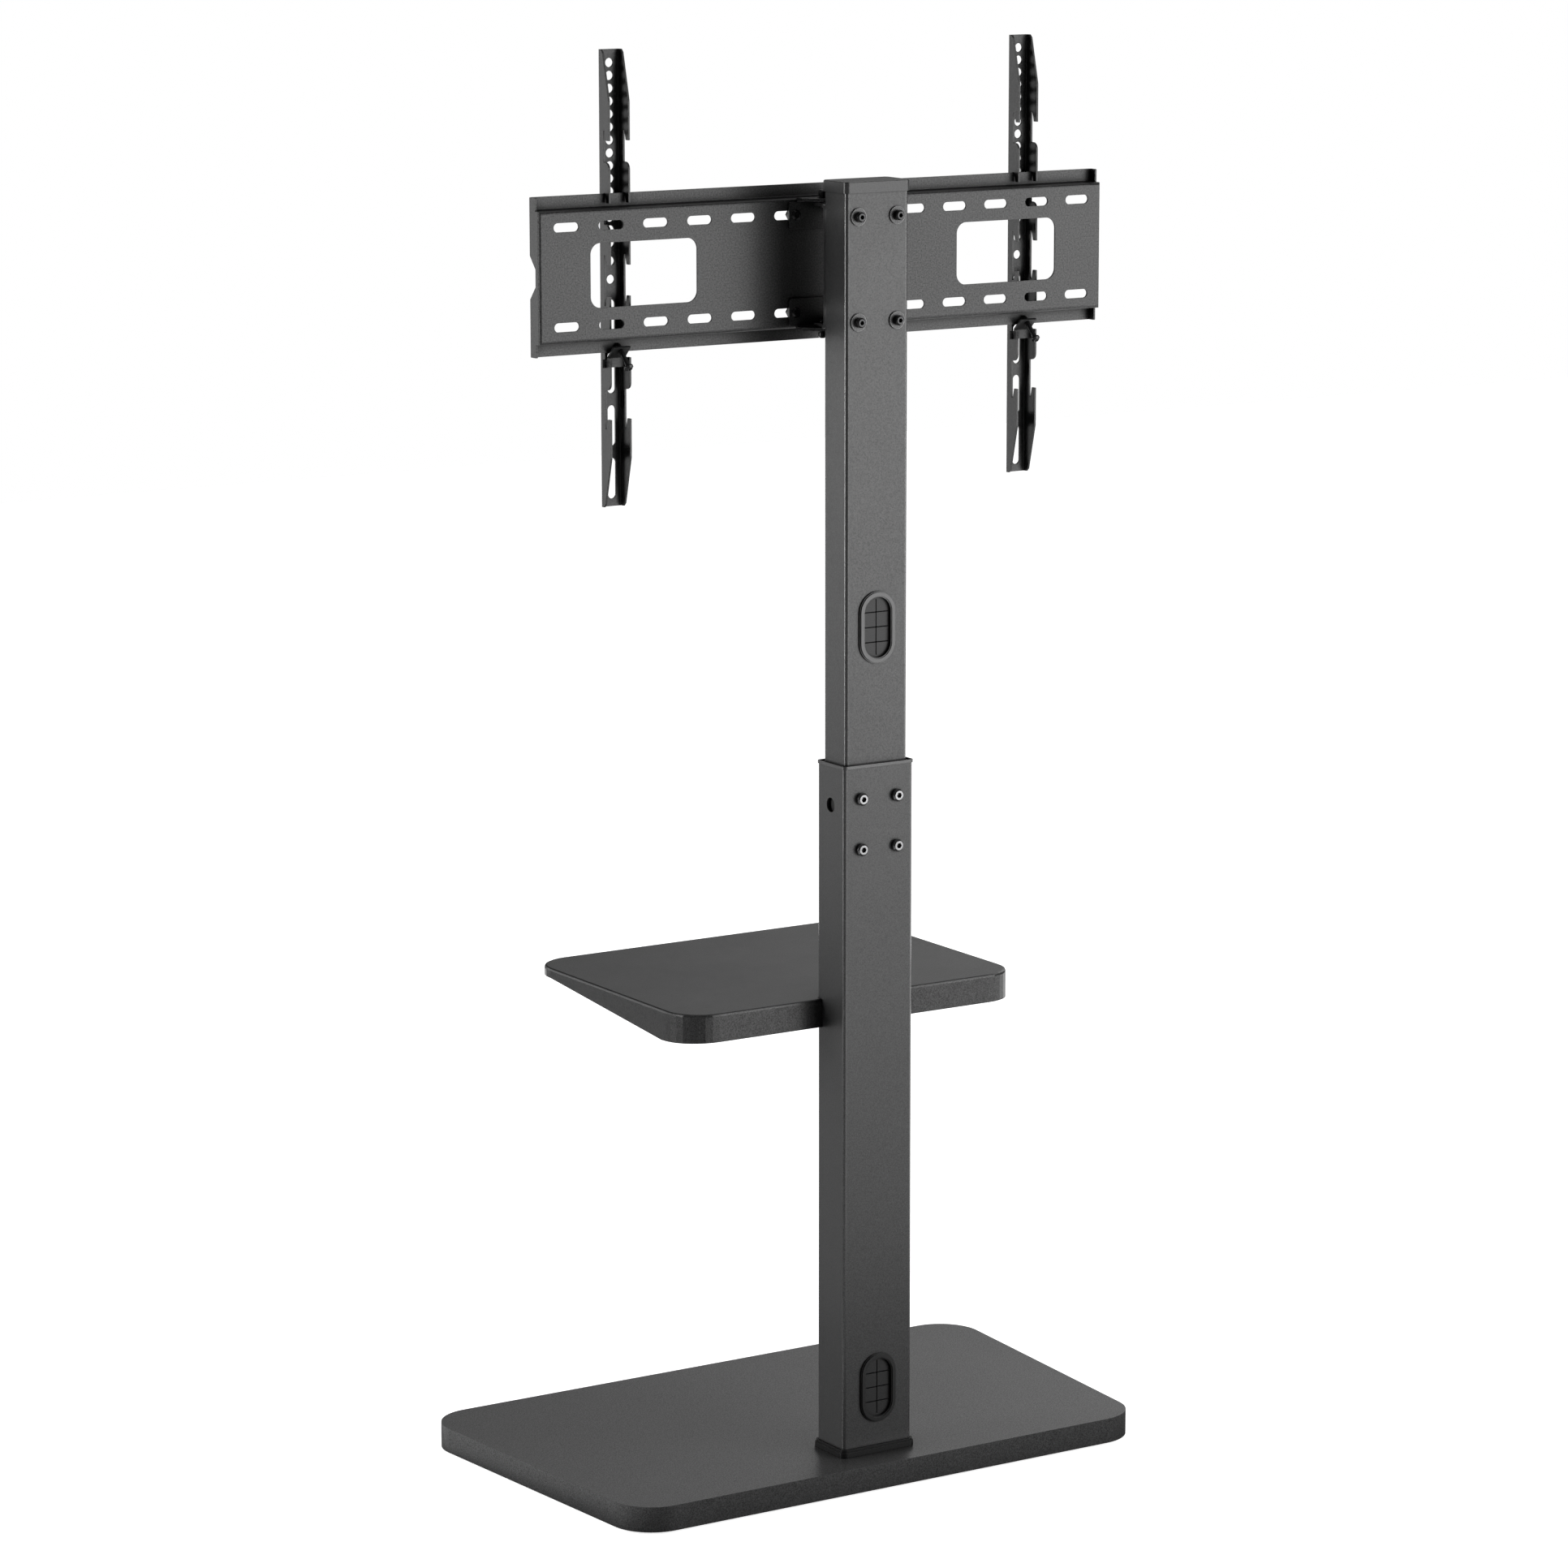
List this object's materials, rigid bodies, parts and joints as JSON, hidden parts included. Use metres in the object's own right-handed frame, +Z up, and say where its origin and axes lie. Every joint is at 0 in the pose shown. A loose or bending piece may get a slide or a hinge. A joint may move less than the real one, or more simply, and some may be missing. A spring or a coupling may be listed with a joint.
{
  "type": "tv stand with mount",
  "caption": "Floor stand for a television: board base, telescopic steel column with cable grommets, shelf, and a swivel mount plate with hook-on arms.",
  "frame": {"origin": "centre of the base's outline, on the floor", "axes": "+Z up, -Y towards the viewer of the television, +X to that viewer's right"},
  "size_m": [0.66, 0.388, 1.446],
  "materials": {
    "powder_coat": "satin black powder coat with a fine grain",
    "black_screws": "black oxide",
    "zinc_plate": "bright zinc",
    "black_plastic": "fine matt grain",
    "black_rubber": "matt",
    "nylon": "natural",
    "board_finish": "fibreboard painted satin black"
  },
  "bodies": {
    "stand": {"base_board": "board_finish", "base_pads": "black_rubber", "spreader_plate": "zinc_plate", "base_bolts": "zinc_plate", "foot_plate": "powder_coat", "base_skirt": "black_plastic", "lower_column": "powder_coat", "lower_grommet": "black_plastic", "lower_grommet_flaps": "black_rubber", "column_collar": "black_plastic", "height_bolts": "black_screws", "clamp_plate": "zinc_plate", "shelf": "black_plastic", "shelf_bracket": "powder_coat", "shelf_bolts": "zinc_plate", "shelf_rivet_nuts": "zinc_plate", "shelf_screws": "zinc_plate"},
    "mast": {"upper_column": "powder_coat", "top_cap": "black_plastic", "mast_glide": "nylon", "upper_grommet": "black_plastic", "upper_grommet_flaps": "black_rubber", "column_bracket": "powder_coat", "head_bolts": "black_screws", "head_washers": "black_screws", "pivot_bolts": "black_screws", "pivot_nuts": "black_screws", "friction_washers": "nylon", "limit_screws": "black_screws"},
    "mount": {"mount_plate": "powder_coat", "upper_yoke": "powder_coat", "lower_yoke": "powder_coat", "yoke_screws": "black_screws", "yoke_nuts": "black_screws"},
    "right_arm_unit": {"right_arm": "powder_coat", "right_lock_plate": "powder_coat"},
    "right_lock": {"right_lock_screw": "black_screws"},
    "left_arm_unit": {"left_arm": "powder_coat", "left_lock_plate": "powder_coat"},
    "left_lock": {"left_lock_screw": "black_screws"}
  },
  "joints": [
    {"name": "height_slide", "type": "slide", "parent": "stand", "child": "mast", "axis": [0, 0, 1], "range_m": [0, 0.15]},
    {"name": "mount_swivel", "type": "hinge", "parent": "mast", "child": "mount", "pos_m": [0, 0.0835, 1.2313], "axis": [0, 0, 1], "range_deg": [-20, 20]},
    {"name": "right_arm_slide", "type": "slide", "parent": "mount", "child": "right_arm_unit", "axis": [1, 0, 0], "range_m": [-0.13, 0.065]},
    {"name": "right_lock_slide", "type": "slide", "parent": "right_arm_unit", "child": "right_lock", "axis": [0, 0.7071, -0.7071], "range_m": [0, 0.008]},
    {"name": "left_arm_slide", "type": "slide", "parent": "mount", "child": "left_arm_unit", "axis": [1, 0, 0], "range_m": [-0.0545, 0.1405]},
    {"name": "left_lock_slide", "type": "slide", "parent": "left_arm_unit", "child": "left_lock", "axis": [0, 0.7071, -0.7071], "range_m": [0, 0.008]}
  ]
}
